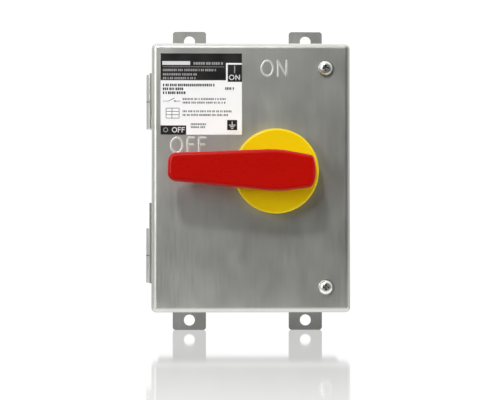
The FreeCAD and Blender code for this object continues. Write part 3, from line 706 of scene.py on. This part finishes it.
def capsule(start, end, radius, steps=8):
    """The outline of a bar with round ends, as (x, z) points."""
    run = (Vector(end) - Vector(start)).normalized()
    heading = math.atan2(run.y, run.x)
    outline = []
    for centre, first in ((end, heading - math.pi / 2), (start, heading + math.pi / 2)):
        for step in range(steps + 1):
            angle = first + math.pi * step / steps
            outline.append((centre[0] + radius * math.cos(angle), centre[1] + radius * math.sin(angle)))
    return outline


def add_crown(mesh_data, start, end):
    """One straight stroke with a rounded top, standing on the cover's face."""
    radius = legend_line_mm / 2 * MM
    loops = []
    for inset, height in relief_levels():
        outline = capsule(start, end, radius - inset)
        loops.append([mesh_data.verts.new((x, cover_face - height, z)) for x, z in outline])
    join_loops(mesh_data, loops)
    mesh_data.faces.new(loops[0])
    mesh_data.faces.new(loops[-1])


def join_loops(mesh_data, loops):
    for first, second in zip(loops, loops[1:]):
        for index in range(len(first)):
            after = (index + 1) % len(first)
            mesh_data.faces.new((first[index], first[after], second[after], second[index]))


def add_round_crown(mesh_data, centre, half_width, half_height, steps=56):
    """The letter O with the same rounded top."""
    levels = relief_levels()
    line = legend_line_mm * MM
    section = [(inset, height) for inset, height in levels]
    section += [(line - inset, height) for inset, height in reversed(levels)]
    loops = []
    for inset, height in section:
        loop = []
        for step in range(steps):
            angle = 2 * math.pi * step / steps
            x = centre[0] + (half_width - inset) * math.cos(angle)
            z = centre[1] + (half_height - inset) * math.sin(angle)
            loop.append(mesh_data.verts.new((x, cover_face - height, z)))
        loops.append(loop)
    join_loops(mesh_data, loops + loops[:1])


def legend_letter(mesh_data, letter, left, bottom, width):
    """Adds O, N or F; left and bottom are its box's corner, in metres."""
    half = legend_line_mm / 2 * MM
    height = legend_height_mm * MM
    low_left = (left + half, bottom + half)
    high_left = (left + half, bottom + height - half)
    low_right = (left + width - half, bottom + half)
    high_right = (left + width - half, bottom + height - half)
    if letter == "O":
        add_round_crown(mesh_data, (left + width / 2, bottom + height / 2), width / 2, height / 2)
    if letter == "N":
        add_crown(mesh_data, low_left, high_left)
        add_crown(mesh_data, high_left, low_right)
        add_crown(mesh_data, low_right, high_right)
    if letter == "F":
        middle = bottom + height * crossbar_share
        add_crown(mesh_data, low_left, high_left)
        add_crown(mesh_data, high_left, high_right)
        add_crown(mesh_data, (left + half, middle), (left + width - 2 * half, middle))


def add_legend(name, material, bottom_mm, letters):
    mesh_data = bmesh.new()
    bottom = cover_centre.z + bottom_mm * MM
    for letter, left_mm, width_mm in letters:
        legend_letter(mesh_data, letter, cover_centre.x + left_mm * MM, bottom, width_mm * MM)
    new_piece(name, mesh_data, material, "door", smooth=True)


# --- Welds ---------------------------------------------------------------------------------------------


ripple_pitch_mm = 0.9
wall_bead_mm = 1.1
wall_bead_inset_mm = 3.0
side_bead_mm = 0.9
side_bead_back_mm = 0.1
side_bead_from = 0.15
side_bead_to = 0.55


def add_bead(mesh_data, start, end, radius, seed):
    """A run of overlapping weld ripples along a straight joint."""
    dice = random.Random(seed)
    start = Vector(start)
    end = Vector(end)
    run = (end - start).normalized()
    side = run.orthogonal().normalized()
    up = run.cross(side)
    length = (end - start).length
    ripples = int(length / (ripple_pitch_mm * MM))
    rings_per_ripple = 4
    steps = 12
    crest = 0.16
    unevenness = 0.03
    end_size = 0.35
    taper_rate = 6
    loops = []
    for index in range(ripples * rings_per_ripple + 1):
        share = index / (ripples * rings_per_ripple)
        phase = (index % rings_per_ripple) / rings_per_ripple
        swell = 1.0 + crest * (1 - phase) + dice.uniform(-unevenness, unevenness)
        taper = min(1.0, end_size + taper_rate * min(share, 1 - share))
        size = radius * swell * taper
        centre = start + run * (length * share)
        loop = []
        for step in range(steps):
            angle = 2 * math.pi * step / steps
            across = centre + side * size * math.cos(angle)
            loop.append(mesh_data.verts.new(across + up * size * math.sin(angle)))
        loops.append(loop)
    join_loops(mesh_data, loops)
    mesh_data.faces.new(loops[0])
    mesh_data.faces.new(loops[-1])


def foot_welds(material):
    """Beads that hold each foot to the box: one along the box's wall, and one down each side of the foot."""
    box_low, box_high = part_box("enclosure_body")
    for side in ("top", "bottom"):
        for hand in ("left", "right"):
            low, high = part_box(f"foot_{side}_{hand}")
            wall = box_high.z if side == "top" else box_low.z
            inner = low.z if side == "top" else high.z
            mesh_data = bmesh.new()
            front = low.y
            wall_start = (low.x + wall_bead_inset_mm * MM, front, wall)
            wall_end = (high.x - wall_bead_inset_mm * MM, front, wall)
            add_bead(mesh_data, wall_start, wall_end, wall_bead_mm * MM, seed=5)
            side_y = front + side_bead_back_mm * MM
            near_end = inner + (wall - inner) * side_bead_from
            far_end = inner + (wall - inner) * side_bead_to
            for x, seed in ((low.x, 6), (high.x, 7)):
                add_bead(mesh_data, (x, side_y, near_end), (x, side_y, far_end), side_bead_mm * MM, seed)
            new_piece(f"weld_{side}_{hand}", mesh_data, material, "enclosure", smooth=True)


# --- Room: floor, light and camera ---------------------------------------------------------------------


floor_size = 12.0
floor_near = 0.32
floor_far = 0.85
world_axis = Vector((0.12, -1.0, -0.04)).normalized()


def studio_floor():
    """A white floor.

    The camera sees it glow and mirror the object faintly, and the mirroring fades out further away.
    Other rays see a bright band under the cover's face, a dim stretch ahead, and a middle level behind.
    """
    bpy.ops.mesh.primitive_plane_add(size=floor_size, location=(0.0, 0.0, cad_low.z))
    floor = bpy.context.object
    floor.name = "studio_floor"
    material = bpy.data.materials.new("studio_floor")
    material.use_nodes = True
    tree = material.node_tree
    tree.nodes.clear()
    coordinates = tree.nodes.new("ShaderNodeTexCoord")
    apart = tree.nodes.new("ShaderNodeSeparateXYZ")
    tree.links.new(coordinates.outputs["Object"], apart.inputs[0])
    away = tree.nodes.new("ShaderNodeVectorMath")
    away.operation = "LENGTH"
    tree.links.new(coordinates.outputs["Object"], away.inputs[0])
    distance = away.outputs["Value"]
    glow = tree.nodes.new("ShaderNodeEmission")
    put(tree, spread(tree, distance, floor_near, floor_far, 0.92, 1.02), glow.inputs["Strength"])
    shine = tree.nodes.new("ShaderNodeBsdfGlossy")
    shine.inputs["Roughness"].default_value = 0.06
    both = tree.nodes.new("ShaderNodeMixShader")
    put(tree, spread(tree, distance, floor_near, floor_far, 0.42, 0.0), both.inputs[0])
    table = tree.nodes.new("ShaderNodeEmission")
    peak = 1.3
    lit_ahead = spread(tree, apart.outputs["Y"], -0.24, -0.11, 0.13, peak)
    shaded_below = spread(tree, apart.outputs["Y"], -0.10, -0.05, peak, 0.4)
    put(tree, maths(tree, "MINIMUM", lit_ahead, shaded_below), table.inputs["Strength"])
    path = tree.nodes.new("ShaderNodeLightPath")
    seen = tree.nodes.new("ShaderNodeMixShader")
    output = tree.nodes.new("ShaderNodeOutputMaterial")
    tree.links.new(glow.outputs[0], both.inputs[1])
    tree.links.new(shine.outputs[0], both.inputs[2])
    tree.links.new(path.outputs["Is Camera Ray"], seen.inputs[0])
    tree.links.new(table.outputs[0], seen.inputs[1])
    tree.links.new(both.outputs[0], seen.inputs[2])
    tree.links.new(seen.outputs[0], output.inputs["Surface"])
    floor.data.materials.append(material)


def studio_world():
    """Bright surroundings that darken towards a screen ahead of the cover, and to its far left and right.

    The camera sees plain white instead.
    """
    world = bpy.data.worlds.new("studio")
    bpy.context.scene.world = world
    world.use_nodes = True
    tree = world.node_tree
    tree.nodes.clear()
    coordinates = tree.nodes.new("ShaderNodeTexCoord")
    axis = tree.nodes.new("ShaderNodeVectorMath")
    axis.operation = "DOT_PRODUCT"
    axis.inputs[1].default_value = world_axis
    tree.links.new(coordinates.outputs["Generated"], axis.inputs[0])
    screen = spread(tree, axis.outputs["Value"], 0.12, 0.84, 1.45, 0.062)
    apart = tree.nodes.new("ShaderNodeSeparateXYZ")
    tree.links.new(coordinates.outputs["Generated"], apart.inputs[0])
    aside = maths(tree, "ABSOLUTE", apart.outputs["X"], 0.0)
    level = maths(tree, "MULTIPLY", screen, spread(tree, aside, 0.6, 1.0, 1.0, 0.55))
    lit = tree.nodes.new("ShaderNodeBackground")
    lit.inputs["Color"].default_value = grey(1.0)
    tree.links.new(level, lit.inputs["Strength"])
    plain = tree.nodes.new("ShaderNodeBackground")
    plain.inputs["Color"].default_value = grey(1.0)
    plain.inputs["Strength"].default_value = 1.05
    path = tree.nodes.new("ShaderNodeLightPath")
    both = tree.nodes.new("ShaderNodeMixShader")
    output = tree.nodes.new("ShaderNodeOutputWorld")
    tree.links.new(path.outputs["Is Camera Ray"], both.inputs[0])
    tree.links.new(lit.outputs[0], both.inputs[1])
    tree.links.new(plain.outputs[0], both.inputs[2])
    tree.links.new(both.outputs[0], output.inputs["Surface"])


def area_light(name, direction, distance, size, power):
    """A square lamp that faces the middle of the cover."""
    data = bpy.data.lights.new(name, "AREA")
    data.size = size
    data.energy = power
    lamp = bpy.data.objects.new(name, data)
    bpy.context.scene.collection.objects.link(lamp)
    outward = Vector(direction).normalized()
    lamp.location = cover_centre + outward * distance
    lamp.rotation_mode = "QUATERNION"
    lamp.rotation_quaternion = outward.to_track_quat("Z", "Y")
    return lamp


def studio_lights():
    """A small key from above, a tall strip at the left, and a fill at the right that steel doesn't mirror."""
    area_light("key", direction=(-0.22, -0.75, 0.62), distance=1.7, size=0.15, power=10.0)
    strip = area_light("left_strip", direction=(-0.50, -0.80, 0.20), distance=2.4, size=0.22, power=15.5)
    strip.data.shape = "RECTANGLE"
    strip.data.size_y = 1.0
    fill = area_light("right_fill", direction=(0.80, -0.60, -0.05), distance=0.9, size=0.20, power=2.2)
    fill.visible_glossy = False


def studio_camera():
    """Nearly square on to the cover, from a little below its middle and to the left."""
    stand_off = Vector((-0.0405, -1.350, -0.0347))
    aim_off = Vector((-0.0008, 0.0, -0.0171))
    data = bpy.data.cameras.new("camera")
    data.sensor_width = 36.0
    data.lens = 127.1
    camera = bpy.data.objects.new("camera", data)
    bpy.context.scene.collection.objects.link(camera)
    camera.location = cover_centre + stand_off
    target = cover_centre + aim_off
    camera.rotation_mode = "QUATERNION"
    camera.rotation_quaternion = (target - camera.location).to_track_quat("-Z", "Y")
    data.clip_start = 0.05
    data.clip_end = 50.0
    bpy.context.scene.camera = camera


dress_cad_nodes()
label_black_print()
label_grey_print()
label_white_print()
legend_look = legend_steel()
add_legend("legend_on", legend_look, on_bottom_mm, on_letters)
add_legend("legend_off", legend_look, off_bottom_mm, off_letters)
foot_welds(weld_metal())
studio_floor()
studio_world()
studio_lights()
studio_camera()
bpy.context.scene.view_settings.view_transform = "Standard"
